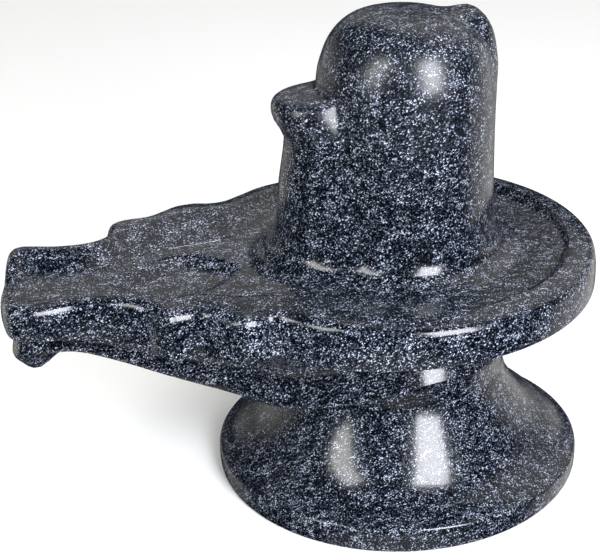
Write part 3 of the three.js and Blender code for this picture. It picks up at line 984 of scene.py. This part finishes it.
@dataclass(frozen=True)
class Lamp:
    """A flat soft lamp that faces the stone.

    Attributes:
        name: its name.
        azimuth: degrees to the right of the camera, seen from the stone.
        elevation: degrees above the floor.
        distance: how far it stands from the stone, in metres.
        width: its width in metres.
        height: its height in metres.
        power: its power in watts.
        colour: its colour.
        roll: degrees that it leans over, clockwise seen from the stone.
        seen: whether the stone's gloss mirrors it.
    """

    name: str
    azimuth: float
    elevation: float
    distance: float
    width: float
    height: float
    power: float
    colour: str = "#ffffff"
    roll: float = 0.0
    seen: Seen = Seen.MIRRORED

    def build(self, target: np.ndarray, camera_azimuth: float) -> bpy.types.Object:
        """Hangs the lamp on a sphere round the target, turned to face it."""
        turn = camera_azimuth + self.azimuth
        data = bpy.data.lights.new(self.name, "AREA")
        data.shape = "RECTANGLE"
        data.size, data.size_y = self.width, self.height
        data.energy = self.power
        data.color = linear(self.colour)[:3]
        lamp = add_object(self.name, data)
        lamp.location = target + self.distance * np.array(heading(turn, self.elevation))
        lamp.rotation_euler = (math.radians(90.0 - self.elevation), 0.0, math.radians(turn))
        lamp.rotation_euler.rotate_axis("Z", math.radians(-self.roll))
        lamp.visible_camera = False
        lamp.visible_glossy = self.seen is Seen.MIRRORED
        return lamp


@dataclass(frozen=True)
class PalePatch:
    """A pale part of the dark room that the polish mirrors.

    Attributes:
        azimuth: degrees from the camera round to its middle, seen from the stone.
        elevation: degrees up to its middle.
        full: degrees from its middle up to which it is fully pale.
        gone: degrees from its middle at which it has faded out.
        share: how pale it is, from 0 to 1.
    """

    azimuth: float
    elevation: float
    full: float
    gone: float
    share: float = 1.0


@dataclass(frozen=True)
class Surroundings:
    """The light of the room: pale walls behind the stone, white paper round it, and a dark room in
    front of it and overhead.

    Attributes:
        pale: colour of the pale patches.
        dark: colour of the room.
        patches: the back wall to the right and to the left, and the paper to the right, to the left
            and in front.
        strength: strength of the room's light.
    """

    pale: str = "#f6f3ed"
    dark: str = "#262b34"
    patches: tuple[PalePatch, ...] = (
        PalePatch(azimuth=142.0, elevation=52.0, full=22.0, gone=42.0),
        PalePatch(azimuth=-166.0, elevation=27.0, full=6.0, gone=20.0, share=0.6),
        PalePatch(azimuth=124.0, elevation=-18.0, full=16.0, gone=40.0),
        PalePatch(azimuth=-124.0, elevation=-10.0, full=8.0, gone=34.0, share=0.7),
        PalePatch(azimuth=0.0, elevation=-56.0, full=16.0, gone=40.0, share=0.7),
    )
    strength: float = 0.95

    def build(self, camera_azimuth: float) -> None:
        """Paints the world by how far each direction is turned away from each patch's middle."""
        world = bpy.data.worlds.new("studio_room")
        world.use_nodes = True
        tree = world.node_tree
        tree.nodes.clear()
        direction = add_node(tree, "ShaderNodeTexCoord").outputs["Generated"]
        total = None
        for patch in self.patches:
            towards = add_node(
                tree, "ShaderNodeVectorMath",
                {"operation": "DOT_PRODUCT", 1: heading(camera_azimuth + patch.azimuth, patch.elevation)},
                {0: direction},
            )
            share = add_node(
                tree, "ShaderNodeMapRange",
                {"From Min": math.cos(math.radians(patch.gone)),
                 "From Max": math.cos(math.radians(patch.full)),
                 "To Min": 0.0, "To Max": patch.share, "interpolation_type": "SMOOTHSTEP"},
                {"Value": towards.outputs["Value"]},
            ).outputs["Result"]
            if total is None:
                total = share
            else:
                total = add_node(
                    tree, "ShaderNodeMath", {"operation": "MAXIMUM"}, {0: total, 1: share}
                ).outputs[0]
        colour = add_node(
            tree, "ShaderNodeMix",
            {"data_type": "RGBA", 6: linear(self.dark), 7: linear(self.pale)},
            {0: total},
        )
        light = add_node(
            tree, "ShaderNodeBackground", {"Strength": self.strength}, {"Color": colour.outputs[2]}
        )
        add_node(tree, "ShaderNodeOutputWorld", {}, {"Surface": light.outputs["Background"]})
        bpy.context.scene.world = world


@dataclass(frozen=True)
class Viewpoint:
    """The photograph's viewpoint, worked out from the round foot, the dish and the dome.

    Attributes:
        azimuth: degrees that the camera stands round from the stone's broadside.
        pitch: degrees that it looks down.
        distance: level distance from the stone's axis, in metres.
        height: height above the floor, in metres.
        focal_pixels: focal length in pixels of the picture.
        middle: the pixel that the lens's own axis falls on.
        picture: the picture's width and height in pixels.
        sensor: width of the sensor, in millimetres.
    """

    azimuth: float = -14.0
    pitch: float = 26.52
    distance: float = 0.51366
    height: float = 0.33953
    focal_pixels: float = 1350.0
    middle: Span = (397.36, 278.17)
    picture: tuple[int, int] = (600, 554)
    sensor: float = 36.0

    def build(self) -> bpy.types.Object:
        """Sets up the camera, shifted so that the stone falls where it does in the photograph."""
        width, height = self.picture
        turn = math.radians(self.azimuth)
        data = bpy.data.cameras.new("viewpoint")
        data.sensor_fit = "HORIZONTAL"
        data.sensor_width = self.sensor
        data.lens = self.focal_pixels * self.sensor / width
        data.shift_x = (width / 2.0 - self.middle[0]) / width
        data.shift_y = (self.middle[1] - height / 2.0) / width
        data.clip_start = 0.01
        camera = add_object("viewpoint", data)
        camera.location = (
            self.distance * math.sin(turn), -self.distance * math.cos(turn), self.height,
        )
        camera.rotation_euler = (math.radians(90.0 - self.pitch), 0.0, turn)
        bpy.context.scene.camera = camera
        return camera


@dataclass(frozen=True)
class Studio:
    """The floor, the lamps, the room and the camera.

    Attributes:
        viewpoint: the camera.
        floor: the sheet of paper.
        surroundings: the light of the room.
        target: the point that the lamps face, in metres.
        lamps: two lamps that the polish mirrors, and a wide one overhead that it doesn't.
    """

    viewpoint: Viewpoint = Viewpoint()
    floor: PaperFloor = PaperFloor()
    surroundings: Surroundings = Surroundings()
    target: tuple[float, float, float] = (0.0, 0.0, 0.06)
    lamps: tuple[Lamp, ...] = (
        Lamp("key_softbox", azimuth=30.0, elevation=30.0, distance=0.9, width=0.36, height=0.58,
             power=12.6, colour="#f6f8ff"),
        Lamp("side_softbox", azimuth=-46.0, elevation=32.0, distance=0.9, width=0.22, height=0.50,
             power=3.1, colour="#fbfbf6", roll=26.0),
        Lamp("overhead", azimuth=0.0, elevation=89.0, distance=3.0, width=6.0, height=6.0,
             power=115.0, seen=Seen.HIDDEN),
    )

    def build(self) -> None:
        """Builds the studio, with plain colours so that white paper shows white."""
        self.viewpoint.build()
        self.floor.build()
        self.surroundings.build(self.viewpoint.azimuth)
        for lamp in self.lamps:
            lamp.build(np.array(self.target), self.viewpoint.azimuth)
        view = bpy.context.scene.view_settings
        view.view_transform = "Standard"
        view.look = "None"


def main() -> None:
    """Builds the studio and the stone, and reports each piece."""
    logging.basicConfig(level=logging.INFO, format="%(message)s")
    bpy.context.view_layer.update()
    Studio().build()
    LOG.info("studio: camera, floor and lamps")
    stone = Stone().build()
    stone.data.materials.append(PolishedGranite().material())
    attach(stone, BODY)
    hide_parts(NODE)
    LOG.info("%s: %d faces", stone.name, len(stone.data.polygons))


if __name__ == "__main__":
    main()
